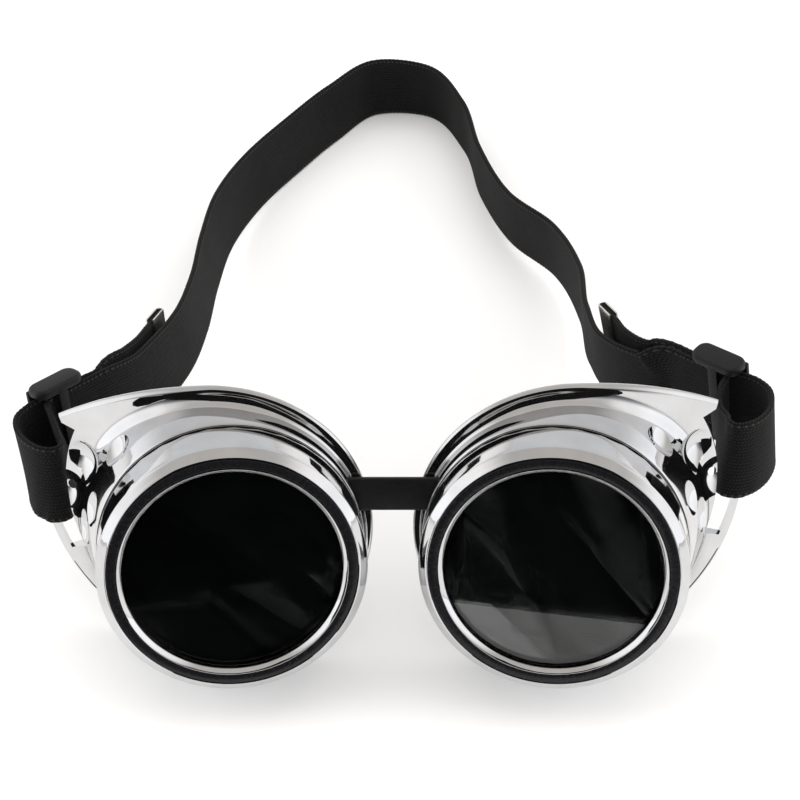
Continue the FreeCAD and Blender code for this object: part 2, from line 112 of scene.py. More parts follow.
# The strap. Its two halves meet at MIDDLE_X. In a slider its layers lie LAYER_OFFSET either side
# of the slider's middle, and run straight between the places given along the slider.
STRAP_WIDTH = 19.0
STRAP_THICKNESS = 1.3
STRAP_STEP = 0.42
PICK_SPACING = 1.25
MIDDLE_X = -6.0
LAYER_OFFSET = 0.85
SLIDERS = {
    "left": {"centre": (-77.0, 52.6, 32.4), "heading": 46.0, "pitch": 5.0, "lean": -12.0},
    "right": {"centre": (76.6, 58.0, 37.0), "heading": 137.0, "pitch": 6.8, "lean": -6.0},
}
SLIDER_FRONT = -6.8
SLIDER_REAR = 13.5
INNER_START = -2.0
STRAIGHT_PIECES = 4
# The strap's middle line: x, y, height, and the lean of its top edge to the right of travel,
# degrees. BACK and LOOPS run on from the ear, TAILS towards the loose end.
BACK = [
    (-65.2, 64.0, 30.6, -11), (-61.4, 70.0, 28.4, -10), (-57.6, 79.0, 26.6, -9),
    (-53.4, 94.0, 23.0, -8), (-51.0, 114.0, 19.0, -8), (-50.0, 136.0, 16.0, -9),
    (-47.5, 159.0, 13.0, -10), (-40.5, 181.0, 10.5, -10), (-30.0, 200.0, 9.6, -9),
    (-18.4, 217.0, 9.6, -8), (-6.0, 230.5, 9.6, -4), (10.2, 228.5, 9.6, 3),
    (20.6, 209.8, 9.6, 5), (25.0, 186.0, 9.6, 5), (32.5, 163.0, 10.6, 7),
    (43.8, 143.2, 14.0, 7), (49.0, 120.0, 18.0, 5), (49.4, 97.0, 23.0, 7),
    (52.4, 81.0, 27.0, 10), (57.4, 72.8, 30.0, 9), (62.6, 68.4, 32.3, 8),
]
LOOPS = {
    "left": [
        (-84.2, 45.0, 33.2, 10), (-84.4, 41.0, 33.9, 6), (-83.4, 37.0, 34.5, 0),
        (-81.6, 33.6, 34.9, -6), (-79.3, 31.2, 35.1, -12), (-77.0, 30.6, 35.0, -14),
        (-75.1, 32.0, 34.1, -12), (-74.2, 34.2, 33.0, -9), (-74.0, 36.2, 32.3, -8),
        (-74.2, 39.0, 31.9, -8), (-75.2, 42.8, 32.3, -10), (-76.7, 47.6, 32.9, -12),
    ],
    "right": [
        (84.6, 50.8, 39.0, 7), (86.1, 46.8, 39.8, 7), (86.0, 42.2, 40.4, 8),
        (84.6, 38.0, 40.8, 9), (82.2, 34.7, 41.0, 11), (79.5, 32.8, 41.0, 13),
        (77.1, 32.6, 40.6, 13), (75.3, 34.0, 39.8, 11), (74.4, 36.2, 38.8, 8),
        (74.2, 38.6, 38.0, 5), (74.3, 41.4, 37.4, 0), (74.5, 45.4, 37.1, -4),
        (75.3, 49.9, 37.4, -6),
    ],
}
TAILS = {
    "left": [(-67.4, 65.4, 31.2, -11), (-64.2, 71.4, 29.2, -10), (-61.4, 78.4, 27.0, -9),
             (-59.4, 85.6, 25.2, -9)],
    "right": [(64.8, 70.8, 33.2, -8), (60.4, 75.0, 31.4, -9), (57.4, 79.8, 30.0, -9),
              (55.8, 84.4, 28.8, -8)],
}
TIP_LENGTH = 7.1


# ---------------------------------------------------------------- materials

def node_material(name):
    """A material with a Principled shader, and helpers to add and join nodes."""
    material = bpy.data.materials.new(name)
    material.use_nodes = True
    tree = material.node_tree
    shader = next(n for n in tree.nodes if n.type == "BSDF_PRINCIPLED")

    def add(kind, inputs=None, **settings):
        node = tree.nodes.new(kind)
        for key, value in settings.items():
            setattr(node, key, value)
        for key, value in (inputs or {}).items():
            if isinstance(value, bpy.types.NodeSocket):
                tree.links.new(value, node.inputs[key])
            else:
                node.inputs[key].default_value = value
        return node

    def join(source, target):
        tree.links.new(source, target)

    return material, shader, add, join


def math_node(add, operation, a, b=None):
    inputs = {0: a}
    if b is not None:
        inputs[1] = b
    return add("ShaderNodeMath", inputs, operation=operation).outputs[0]


def set_bump(add, join, shader, height, strength, distance):
    bump = add("ShaderNodeBump", {"Height": height, "Strength": strength, "Distance": distance})
    join(bump.outputs["Normal"], shader.inputs["Normal"])


def chrome_material():
    """Bright plating on moulded plastic: slow waviness, a few hazy spots and fine dust."""
    material, shader, add, join = node_material("chrome_plating")
    shader.inputs["Metallic"].default_value = 1.0
    where = add("ShaderNodeTexCoord").outputs["Object"]
    slow = add("ShaderNodeTexNoise", {"Vector": where, "Scale": 60.0, "Detail": 2.0})
    haze = add("ShaderNodeTexNoise", {"Vector": where, "Scale": 140.0, "Detail": 4.0})
    dust = add("ShaderNodeTexNoise", {"Vector": where, "Scale": 1500.0, "Detail": 2.0})
    tint = add("ShaderNodeValToRGB", {"Fac": haze.outputs["Fac"]})
    tint.color_ramp.elements[0].position = 0.3
    tint.color_ramp.elements[0].color = (0.53, 0.53, 0.535, 1)
    tint.color_ramp.elements[1].position = 0.7
    tint.color_ramp.elements[1].color = (0.60, 0.60, 0.605, 1)
    join(tint.outputs["Color"], shader.inputs["Base Color"])
    rough = add("ShaderNodeMapRange", {"Value": haze.outputs["Fac"], "From Min": 0.35,
                                       "From Max": 0.8, "To Min": 0.025, "To Max": 0.09})
    join(rough.outputs["Result"], shader.inputs["Roughness"])
    height = math_node(add, "ADD", math_node(add, "MULTIPLY", slow.outputs["Fac"], 1.0),
                       math_node(add, "MULTIPLY", dust.outputs["Fac"], 0.006))
    set_bump(add, join, shader, height, 0.5, 0.00012)
    return material


def inlay_material():
    material, shader, add, join = node_material("inlay_black")
    where = add("ShaderNodeTexCoord").outputs["Object"]
    grain = add("ShaderNodeTexNoise", {"Vector": where, "Scale": 900.0, "Detail": 3.0})
    tone = add("ShaderNodeValToRGB", {"Fac": grain.outputs["Fac"]})
    tone.color_ramp.elements[0].color = (0.006, 0.006, 0.008, 1)
    tone.color_ramp.elements[1].color = (0.009, 0.009, 0.0095, 1)
    join(tone.outputs["Color"], shader.inputs["Base Color"])
    shader.inputs["Specular IOR Level"].default_value = 0.25
    rough = add("ShaderNodeMapRange", {"Value": grain.outputs["Fac"], "To Min": 0.2,
                                       "To Max": 0.34})
    join(rough.outputs["Result"], shader.inputs["Roughness"])
    set_bump(add, join, shader, grain.outputs["Fac"], 0.03, 0.00005)
    return material


def clear_glass_material():
    material, shader, add, join = node_material("clear_glass")
    shader.inputs["Base Color"].default_value = (0.93, 0.96, 0.95, 1)
    shader.inputs["Transmission Weight"].default_value = 1.0
    shader.inputs["IOR"].default_value = 1.5
    where = add("ShaderNodeTexCoord").outputs["Object"]
    smear = add("ShaderNodeTexNoise", {"Vector": where, "Scale": 45.0, "Detail": 5.0})
    rough = add("ShaderNodeMapRange", {"Value": smear.outputs["Fac"], "From Min": 0.45,
                                       "From Max": 0.8, "To Min": 0.0, "To Max": 0.012})
    join(rough.outputs["Result"], shader.inputs["Roughness"])
    return material


def filter_glass_material():
    """Welding glass: near black, with a trace of green."""
    material, shader, add, join = node_material("filter_glass")
    where = add("ShaderNodeTexCoord").outputs["Object"]
    cloud = add("ShaderNodeTexNoise", {"Vector": where, "Scale": 70.0, "Detail": 3.0})
    tone = add("ShaderNodeValToRGB", {"Fac": cloud.outputs["Fac"]})
    tone.color_ramp.elements[0].color = (0.004, 0.0055, 0.0055, 1)
    tone.color_ramp.elements[1].color = (0.0055, 0.007, 0.007, 1)
    join(tone.outputs["Color"], shader.inputs["Base Color"])
    shader.inputs["Roughness"].default_value = 0.04
    shader.inputs["IOR"].default_value = 1.52
    return material


def rubber_material(name, dark, light, scale):
    """Moulded rubber: a fine matte grain with slightly paler high spots."""
    material, shader, add, join = node_material(name)
    where = add("ShaderNodeTexCoord").outputs["Object"]
    grain = add("ShaderNodeTexNoise", {"Vector": where, "Scale": scale, "Detail": 4.0})
    tone = add("ShaderNodeValToRGB", {"Fac": grain.outputs["Fac"]})
    tone.color_ramp.elements[0].position = 0.35
    tone.color_ramp.elements[0].color = (*dark, 1)
    tone.color_ramp.elements[1].position = 0.75
    tone.color_ramp.elements[1].color = (*light, 1)
    join(tone.outputs["Color"], shader.inputs["Base Color"])
    rough = add("ShaderNodeMapRange", {"Value": grain.outputs["Fac"], "To Min": 0.42,
                                       "To Max": 0.6})
    join(rough.outputs["Result"], shader.inputs["Roughness"])
    set_bump(add, join, shader, grain.outputs["Fac"], 0.3, 0.00004)
    shader.inputs["Specular IOR Level"].default_value = 0.3
    return material


def nickel_material():
    material, shader, add, join = node_material("nickel_tip")
    shader.inputs["Metallic"].default_value = 1.0
    where = add("ShaderNodeTexCoord").outputs["Object"]
    squeezed = add("ShaderNodeMapping", {"Vector": where, "Scale": (1.0, 1.0, 0.08)})
    brush = add("ShaderNodeTexNoise", {"Vector": squeezed.outputs[0], "Scale": 2500.0,
                                       "Detail": 3.0})
    stain = add("ShaderNodeTexNoise", {"Vector": where, "Scale": 400.0, "Detail": 3.0})
    tone = add("ShaderNodeValToRGB", {"Fac": stain.outputs["Fac"]})
    tone.color_ramp.elements[0].color = (0.66, 0.64, 0.60, 1)
    tone.color_ramp.elements[1].color = (0.88, 0.87, 0.84, 1)
    join(tone.outputs["Color"], shader.inputs["Base Color"])
    rough = add("ShaderNodeMapRange", {"Value": brush.outputs["Fac"], "To Min": 0.22,
                                       "To Max": 0.4})
    join(rough.outputs["Result"], shader.inputs["Roughness"])
    set_bump(add, join, shader, brush.outputs["Fac"], 0.2, 0.00003)
    return material


def elastic_material():
    """Knitted elastic: ribs along the strap, crossed by slanting stitches, picked edges; the colour
    is paler on the raised crests and edge beads, a painted highlight.
    """
    material, shader, add, join = node_material("knitted_elastic")
    along = add("ShaderNodeAttribute", attribute_name="along_mm").outputs["Fac"]
    across = add("ShaderNodeAttribute", attribute_name="across_mm").outputs["Fac"]
    turn = 2 * math.pi
    rib_phase = math_node(add, "MULTIPLY", across, turn / 0.8)
    rib = math_node(add, "COSINE", rib_phase)
    zigzag = math_node(add, "PINGPONG", across, 0.8)
    slant = math_node(add, "ADD", math_node(add, "MULTIPLY", along, turn / 0.62),
                      math_node(add, "MULTIPLY", zigzag, turn / 1.1))
    stitch = math_node(add, "SINE", slant)
    knit = math_node(add, "ADD", math_node(add, "MULTIPLY", rib, 0.45),
                     math_node(add, "MULTIPLY", stitch, 0.55))
    edge = math_node(add, "ABSOLUTE", across)
    off = math_node(add, "ABSOLUTE", math_node(add, "SUBTRACT", edge, 8.75))
    selvedge = add("ShaderNodeMapRange", {"Value": off, "From Min": 0.1, "From Max": 0.42,
                                          "To Min": 1.0, "To Max": 0.0},
                   interpolation_type="SMOOTHSTEP").outputs["Result"]
    beads = math_node(add, "SINE", math_node(add, "MULTIPLY", along, turn / PICK_SPACING))
    picked = add("ShaderNodeMapRange", {"Value": beads, "From Min": -0.2, "From Max": 0.8})
    bead_rise_and_highlight = math_node(add, "MULTIPLY", selvedge, picked.outputs["Result"])
    where = add("ShaderNodeTexCoord").outputs["Object"]
    fuzz = add("ShaderNodeTexNoise", {"Vector": where, "Scale": 2600.0, "Detail": 3.0})
    wear = add("ShaderNodeTexNoise", {"Vector": where, "Scale": 90.0, "Detail": 4.0})
    # Painted highlight and shade: the colour is paler on the crests of the ribs and stitches and
    # darker in the hollows between them, following the bump.
    tone = add("ShaderNodeMapRange", {"Value": knit, "From Min": -0.8, "From Max": 1.0,
                                      "To Min": 0.0, "To Max": 1.0}).outputs["Result"]
    tone = math_node(add, "MULTIPLY", tone, math_node(add, "ADD", fuzz.outputs["Fac"], 0.35))
    tone = math_node(add, "MULTIPLY", tone, math_node(add, "ADD", wear.outputs["Fac"], 0.45))
    # Painted highlight: the edge beads, raised by the bump, are also paler in colour where they
    # rise.
    tone = math_node(add, "ADD", math_node(add, "MULTIPLY", tone, 0.4),
                     math_node(add, "MULTIPLY", bead_rise_and_highlight, 0.6))
    ramp = add("ShaderNodeValToRGB", {"Fac": tone})
    ramp.color_ramp.elements[0].position = 0.0
    ramp.color_ramp.elements[0].color = (0.0018, 0.0018, 0.002, 1)
    ramp.color_ramp.elements[1].position = 1.0
    ramp.color_ramp.elements[1].color = (0.05, 0.049, 0.048, 1)
    join(ramp.outputs["Color"], shader.inputs["Base Color"])
    shader.inputs["Roughness"].default_value = 0.85
    shader.inputs["Sheen Weight"].default_value = 0.02
    shader.inputs["Sheen Roughness"].default_value = 0.5
    shader.inputs["Specular IOR Level"].default_value = 0.12
    height = math_node(add, "ADD", knit, math_node(add, "MULTIPLY", fuzz.outputs["Fac"], 0.5))
    height = math_node(add, "ADD", height, math_node(add, "MULTIPLY", bead_rise_and_highlight, 1.2))
    set_bump(add, join, shader, height, 0.7, 0.0001)
    return material


CHROME = chrome_material()
# A near-black material for the painted shade in the gap between ring and cup.
COLLAR_GAP_SHADE = rubber_material("collar_gap_painted_shade", (0.004, 0.004, 0.004), (0.008, 0.008, 0.008), 700.0)
INLAY = inlay_material()
CLEAR = clear_glass_material()
FILTER = filter_glass_material()
GASKET = rubber_material("gasket_rubber", (0.008, 0.008, 0.008), (0.02, 0.02, 0.02), 900.0)
BRIDGE = rubber_material("bridge_rubber", (0.004, 0.004, 0.0045), (0.009, 0.009, 0.0095), 1200.0)
PLASTIC = rubber_material("slider_plastic", (0.004, 0.004, 0.0045), (0.008, 0.008, 0.009), 1600.0)
NICKEL = nickel_material()
ELASTIC = elastic_material()


# ---------------------------------------------------------------- mesh helpers

def link_new(name, data):
    """A new object of some data, linked to the scene."""
    obj = bpy.data.objects.new(name, data)
    bpy.context.scene.collection.objects.link(obj)
    return obj


def new_object(name, verts, faces, material, sharp=35.0):
    """A mesh object from points in metres, smooth except across edges sharper than an angle."""
    mesh = bpy.data.meshes.new(name)
    mesh.from_pydata([tuple(v) for v in verts], [], faces)
    mesh.materials.append(material)
    obj = link_new(name, mesh)
    finish_mesh(obj, sharp)
    return obj


def finish_mesh(obj, sharp):
    """Outward normals, no doubled points, smooth shading split at sharp edges."""
    bm = bmesh.new()
    bm.from_mesh(obj.data)
    bmesh.ops.remove_doubles(bm, verts=bm.verts, dist=1e-6)
    bmesh.ops.recalc_face_normals(bm, faces=bm.faces)
    bm.to_mesh(obj.data)
    bm.free()
    obj.data.shade_smooth()
    obj.data.set_sharp_from_angle(angle=math.radians(sharp))


def apply_modifiers(obj):
    """Replace an object's mesh by the result of its modifiers."""
    graph = bpy.context.evaluated_depsgraph_get()
    mesh = bpy.data.meshes.new_from_object(obj.evaluated_get(graph))
    obj.modifiers.clear()
    obj.data = mesh


def carve(obj, cutters, operation="DIFFERENCE"):
    """Boolean an object with each cutter, and remove the cutters."""
    for cutter in cutters:
        modifier = obj.modifiers.new("cut", "BOOLEAN")
        modifier.operation = operation
        modifier.solver = "EXACT"
        modifier.object = cutter
    apply_modifiers(obj)
    for cutter in cutters:
        bpy.data.objects.remove(cutter, do_unlink=True)


def soften(obj, width, segments, angle):
    """A small rounding on every edge sharper than an angle."""
    modifier = obj.modifiers.new("edge", "BEVEL")
    modifier.width = width * MM
    modifier.segments = segments
    modifier.limit_method = "ANGLE"
    modifier.angle_limit = math.radians(angle)
    modifier.use_clamp_overlap = True
    modifier.harden_normals = False
    apply_modifiers(obj)


def loops_to_faces(rows, columns, close_rows=True):
    """Quads of a grid stored row by row, its columns closed round, its rows closed if asked."""
    faces = []
    for i in range(rows if close_rows else rows - 1):
        for j in range(columns):
            a, b = i * columns, ((i + 1) % rows) * columns
            k = (j + 1) % columns
            faces.append((a + j, a + k, b + k, b + j))
    return faces


def prism(name, outline, low, high):
    """A closed prism over an outline of x, y points, from one local height to another (mm)."""
    count = len(outline)
    verts = [Vector((x, y, z)) * MM for z in (low, high) for x, y in outline]
    faces = [tuple(range(count - 1, -1, -1)), tuple(range(count, 2 * count))]
    faces += [(i, (i + 1) % count, count + (i + 1) % count, count + i) for i in range(count)]
    return new_object(name, verts, faces, CHROME)


def rounded_box(name, size, centre, radius, material):
    """A box with rounded edges, centred on a point (mm)."""
    bm = bmesh.new()
    bmesh.ops.create_cube(bm, size=1.0)
    for vert in bm.verts:
        vert.co = Vector(s * c for s, c in zip(size, vert.co)) * MM
    bmesh.ops.bevel(bm, geom=bm.edges, offset=radius * MM, segments=3, profile=0.5,
                    affect="EDGES")
    for vert in bm.verts:
        vert.co += Vector(centre) * MM
    mesh = bpy.data.meshes.new(name)
    bm.to_mesh(mesh)
    bm.free()
    mesh.materials.append(material)
    return link_new(name, mesh)


def rounded_plate(name, size, centre, corner, edge, material):
    """A plate rounded in plan by one radius and along its edges by another (mm)."""
    half_x, half_y = size[0] / 2 - corner, size[1] / 2 - corner
    outline = []
    for sign_x, sign_y, start in ((1, 1, 0), (-1, 1, 90), (-1, -1, 180), (1, -1, 270)):
        for i in range(9):
            angle = math.radians(start + 90 * i / 8)
            outline.append((sign_x * half_x + corner * math.cos(angle),
                            sign_y * half_y + corner * math.sin(angle)))
    verts, rows = [], 7
    levels = [(-1, math.radians(90 * i / 6)) for i in range(rows)]
    levels += [(1, math.radians(90 - 90 * i / 6)) for i in range(rows)]
    for sign, angle in levels:
        inset = edge * (1 - math.sin(angle))
        z = sign * (size[2] / 2 - edge * (1 - math.cos(angle)))
        for x, y in outline:
            reach = math.hypot(x, y)
            verts.append((Vector((x - x / reach * inset, y - y / reach * inset, z))
                          + Vector(centre)) * MM)
    columns = len(outline)
    faces = loops_to_faces(2 * rows, columns, close_rows=False)
    faces += [tuple(range(columns)), tuple(range((2 * rows - 1) * columns, 2 * rows * columns))]
    return new_object(name, verts, faces, material)


def eye_matrix(side):
    """From an eye's local frame, in metres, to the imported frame. Side is -1 on the left eye."""
    toe = TOE_IN * side
    across = Vector((math.cos(toe), -math.sin(toe), 0))
    out = Vector((-math.sin(toe) * math.cos(LENS_RISE), -math.cos(toe) * math.cos(LENS_RISE),
                  math.sin(LENS_RISE)))
    up = out.cross(across)
    centre = Vector((side * EYE_SPACING / 2, 0, LENS_HEIGHT)) * MM
    matrix = Matrix((across, up, out)).transposed().to_4x4()
    matrix.translation = centre
    return matrix


def to_eye(obj, side):
    """Carry a mesh built for the right eye's local frame to its place, mirrored on the left."""
    matrix = eye_matrix(side)
    if side < 0:
        matrix = matrix @ Matrix.Scale(-1, 4, (1, 0, 0))
    obj.data.transform(matrix)
    if side < 0:
        obj.data.flip_normals()
    obj.data.update()
    return obj


def place(piece, body, slot, *nodes):
    """Ride on a body and stand for CAD nodes; the slot argument is not used."""
    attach(piece, body)
    if nodes:
        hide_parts(*nodes)


# ---------------------------------------------------------------- rings

def lathe(name, profile, material, steps=240, wobble=None, sharp=30.0):
    """Turn a closed profile of radius and depth round the lens axis."""
    verts = []
    for i in range(steps):
        angle = 2 * math.pi * i / steps
        for j, (radius, depth) in enumerate(profile):
            if wobble:
                radius, depth = wobble(j, angle, radius, depth)
            verts.append(Vector((radius * math.cos(angle), radius * math.sin(angle), -depth)) * MM)
    return new_object(name, verts, loops_to_faces(steps, len(profile)), material, sharp)


def arc(centre, radius, start, end, count):
    """Points on a circular arc of a profile, in degrees."""
    points = []
    for i in range(count):
        angle = math.radians(start + (end - start) * i / (count - 1))
        points.append((centre[0] + radius * math.cos(angle), centre[1] + radius * math.sin(angle)))
    return points


RING_FACETS = 34
BACK_EDGE_LAST = 4
FACET_CUT = 0.16
FACET_LIFT = 0.28
# Radius and depth, from the back edge over the outside, the groove of the inlay and the inside.
RING_PROFILE = (
    arc((28.6, 11.6), 0.3, 90, 0, 5) + [(28.9, 10.7), (28.9, 9.0), (28.9, 6.0), (28.9, 3.4)]
    + arc((28.4, 1.75), 0.5, 0, -51, 5) + [(28.0, 0.85), (27.4, 0.36), (27.08, 0.1),
                                          (26.95, 0.06), (26.84, 0.14)]
    + [(26.8, 0.4), (26.8, 0.9), (24.6, 0.9), (24.6, 0.22), (24.56, 0.08), (24.46, 0.05),
       (24.34, 0.12), (23.62, 0.78), (23.53, 0.9), (23.5, 1.05), (23.5, 1.5)]
    + arc((23.7, 1.7), 0.2, 180, 90, 3)
    + [(25.25, 1.9), (25.25, 5.9), (27.2, 5.9), (27.2, 11.7), (27.4, 11.9)]
)


def ring_wobble(index, angle, radius, depth):
    """Flats along the ring's back edge, as a turned edge left slightly polygonal by its mould."""
    if index > BACK_EDGE_LAST:
        return radius, depth
    share = (angle / (2 * math.pi) * RING_FACETS) % 1.0
    flat = 1.0 - (2 * share - 1) ** 2
    return (radius - FACET_CUT * flat * (BACK_EDGE_LAST - index) / BACK_EDGE_LAST,
            depth - FACET_LIFT * flat * (1 if index else 0))


def build_ring(side_name):
    ring = lathe("retaining_ring_chrome_" + side_name, RING_PROFILE, CHROME, 272, ring_wobble)
    to_eye(ring, SIDES[side_name])
    place(ring, "ring_" + side_name, "chromed_plastic", "retaining_ring_" + side_name)
    inlay_profile = ([(26.72, 0.88), (26.72, 0.3)] + arc((26.45, 0.3), 0.27, 0, -80, 4)
                     + [(25.7, 0.0)] + arc((24.95, 0.3), 0.27, -100, -180, 4)
                     + [(24.68, 0.88), (25.7, 0.88)])
    inlay = lathe("bezel_inlay_band_" + side_name, inlay_profile, INLAY)
    to_eye(inlay, SIDES[side_name])
    place(inlay, "ring_" + side_name, "inlay_black", "bezel_inlay_" + side_name)


# ---------------------------------------------------------------- cups

def flare_point(u, share, radius):
    return ((radius + FLARE_GROW[0] * share) * math.cos(u) + FLARE_SHIFT * share,
            (radius + FLARE_GROW[1] * share) * math.sin(u))


def rim_depth(x, radius):
    """Depth of the curved face edge, front or back, at a local x."""
    return RIM_BASE - math.sqrt(radius ** 2 - (x + RIM_AXIS) ** 2)


def meet(u, start, radius, rim):
    """Where a flared wall meets a rim surface, as its share of the flare."""
    share = 0.3
    for _ in range(40):
        x, _y = flare_point(u, share, radius)
        share = (rim_depth(x, rim) - start) / (FLARE_END - start)
    return share


def ray_to_circle(origin, u, centre, radius):
    dx, dy = math.cos(u), math.sin(u)
    ox, oy = origin[0] - centre[0], origin[1] - centre[1]
    along = ox * dx + oy * dy
    return -along + math.sqrt(along ** 2 - (ox * ox + oy * oy - radius ** 2))


def outline_point(u):
    """The flange's outline, seen along the lens axis, at an angle about its middle."""
    middle = OUTLINE_MIDDLE
    nose = ray_to_circle(middle, u, ROUND_CENTRE, ROUND_RADIUS)
    ear = ray_to_circle(middle, u, EAR_CENTRE, EAR_RADIUS)
    brow = ray_to_circle(middle, u, (FLARE_SHIFT, FLANGE_TOP - BROW_RADIUS), BROW_RADIUS)
    temple = max(nose, min(ear, brow))
    share = min(max((math.cos(u) + 0.12) / 0.24, 0.0), 1.0)
    share = share * share * (3 - 2 * share)
    reach = nose + (temple - nose) * share
    return middle[0] + reach * math.cos(u), middle[1] + reach * math.sin(u)


def bezier(a, b, c, count):
    """Points strictly inside a three-point curve."""
    points = []
    for i in range(1, count + 1):
        t = i / (count + 1)
        points.append(tuple((1 - t) ** 2 * p + 2 * t * (1 - t) * q + t * t * r
                            for p, q, r in zip(a, b, c)))
    return points


def cup_column(u):
    """One closed section of the cup: collar, shoulder, wall, cove, flange, lip and inside."""
    cos_u, sin_u = math.cos(u), math.sin(u)

    def turned(radius, depth):
        return (radius * cos_u, radius * sin_u, depth)

    column = [turned(r, d) for r, d in (
        (COLLAR_INNER, 14.2), (COLLAR_INNER, 10.0), (COLLAR_INNER, 6.6), (24.1, COLLAR_START),
        (26.5, COLLAR_START), (COLLAR_OUTER, 6.6), (COLLAR_OUTER, 9.5), (COLLAR_OUTER, 12.7))]
    column += [turned(r, d) for r, d in [(27.8, 12.7), *arc((28.8, 13.2), 0.5, -90, -4, 6)]]
    out_share = meet(u, FLARE_START, SHOULDER_RADIUS, RIM_FRONT)
    corner = flare_point(u, out_share, SHOULDER_RADIUS)
    corner_depth = rim_depth(corner[0], RIM_FRONT)
    edge = outline_point(u)
    width = math.dist(corner, edge)
    away = ((edge[0] - corner[0]) / width, (edge[1] - corner[1]) / width)
    cove = min(2.6, (corner_depth - 14.3) * 0.5, (width - 1.1) * 0.75)
    start = (14.0 - FLARE_START) / (FLARE_END - FLARE_START) + 0.01
    stop = out_share - cove / (FLARE_END - FLARE_START)
    for i in range(12):
        share = start + (stop - start) * (i + 0.5) / 11.5
        x, y = flare_point(u, share, SHOULDER_RADIUS)
        column.append((x, y, FLARE_START + share * (FLARE_END - FLARE_START)))

    def flange(distance, rim, base=corner):
        x, y = base[0] + away[0] * distance, base[1] + away[1] * distance
        return (x, y, rim_depth(x, rim))

    column += bezier(column[-1], (*corner, corner_depth), flange(cove, RIM_FRONT), 6)
    lip = 1.0
    flat = width - lip
    for i in range(4):
        column.append(flange(cove + (flat - cove) * i / 3, RIM_FRONT))
    for i in range(1, 8):
        angle = math.pi * i / 8
        front, back = flange(flat, RIM_FRONT), flange(flat, RIM_BACK)
        middle = [(p + q) / 2 for p, q in zip(front, back)]
        half = [(p - q) / 2 for p, q in zip(front, back)]
        column.append((middle[0] + half[0] * math.cos(angle) + away[0] * lip * math.sin(angle),
                       middle[1] + half[1] * math.cos(angle) + away[1] * lip * math.sin(angle),
                       middle[2] + half[2] * math.cos(angle)))
    in_share = meet(u, HOLLOW_START, SHOULDER_RADIUS - WALL, RIM_BACK)
    inner = flare_point(u, in_share, SHOULDER_RADIUS - WALL)
    inner_depth = rim_depth(inner[0], RIM_BACK)
    for i in range(4):
        column.append(flange(flat + (0.7 - flat) * i / 3, RIM_BACK))
    last = column[-1]
    rounding = min(0.9, (inner_depth - HOLLOW_START) * 0.3)
    drop = rounding / (FLARE_END - HOLLOW_START)
    x, y = flare_point(u, in_share - drop, SHOULDER_RADIUS - WALL)
    foot = (x, y, HOLLOW_START + (in_share - drop) * (FLARE_END - HOLLOW_START))
    column += bezier(last, (*inner, inner_depth), foot, 3)
    for i in range(9):
        share = (in_share - drop) * (1 - i / 8)
        x, y = flare_point(u, share, SHOULDER_RADIUS - WALL)
        column.append((x, y, HOLLOW_START + share * (FLARE_END - HOLLOW_START)))
    column.append(turned(25.6, 14.2))
    return column


def ring_sector(inner, outer, low, high, count=24):
    """Outline of part of a ring round the ear circle's centre."""
    points = []
    for radius, order in ((inner, range(count + 1)), (outer, range(count, -1, -1))):
        for i in order:
            angle = math.radians(low + (high - low) * i / count)
            points.append((EAR_CENTRE[0] + radius * math.cos(angle),
                           EAR_CENTRE[1] + radius * math.sin(angle)))
    return points


def cup_cutters():
    """The strap's slot and throat, the ear's blunt tip, and a dish and an opening for each vent."""
    slot = ring_sector(*SLOT)
    throat = ring_sector(SLOT[0] - 0.02, EAR_RADIUS + 6, THROAT_LOW, SLOT[3] + 0.02)
    cutters = [prism("cut_slot", slot, *CUT_SPAN), prism("cut_throat", throat, *CUT_SPAN),
               prism("cut_tip", BLUNT_TIP, *CUT_SPAN)]
    dish = (VENT_DISH[0] ** 2 + VENT_DISH[1] ** 2) / (2 * VENT_DISH[1])
    for turn, depth in VENTS:
        angle = math.radians(turn)
        x, y = flare_point(angle, (depth - FLARE_START) / (FLARE_END - FLARE_START),
                           SHOULDER_RADIUS)
        surface = math.hypot(x, y)
        tilt = (Matrix.Translation((0, 0, -depth * MM)) @ Matrix.Rotation(angle, 4, "Z")
                @ Matrix.Rotation(math.pi / 2, 4, "Y"))
        bm = bmesh.new()
        bmesh.ops.create_uvsphere(bm, u_segments=64, v_segments=40, radius=dish * MM)
        mesh = bpy.data.meshes.new("cut_dish")
        bm.to_mesh(mesh)
        bm.free()
        mesh.transform(tilt @ Matrix.Translation((0, 0, (surface + dish - VENT_DISH[1]) * MM)))
        bowl = link_new("cut_dish", mesh)
        outline = [(VENT_OPENING[0] * math.cos(2 * math.pi * i / 32) + VENT_OPENING_SHIFT[0],
                    VENT_OPENING[1] * math.sin(2 * math.pi * i / 32) + VENT_OPENING_SHIFT[1])
                   for i in range(32)]
        hole = prism("cut_vent", outline, surface - 6.0, surface + 4.0)
        hole.data.transform(tilt)
        cutters += [bowl, hole]
    return cutters


def bridge_cutter():
    """The slot for the nose bridge, cut after the roll, so that it meets the bridge."""
    low = BRIDGE_SLOT[1] - BRIDGE_TALL - BRIDGE_PLAY
    high = BRIDGE_SLOT[1] + BRIDGE_TALL + BRIDGE_PLAY
    box = [(-34.0, low), (-25.0, low), (-25.0, high), (-34.0, high)]
    return prism("cut_bridge", box, BRIDGE_SLOT[2] - BRIDGE_THICK - BRIDGE_PLAY,
                 BRIDGE_SLOT[2] + BRIDGE_THICK + BRIDGE_PLAY)


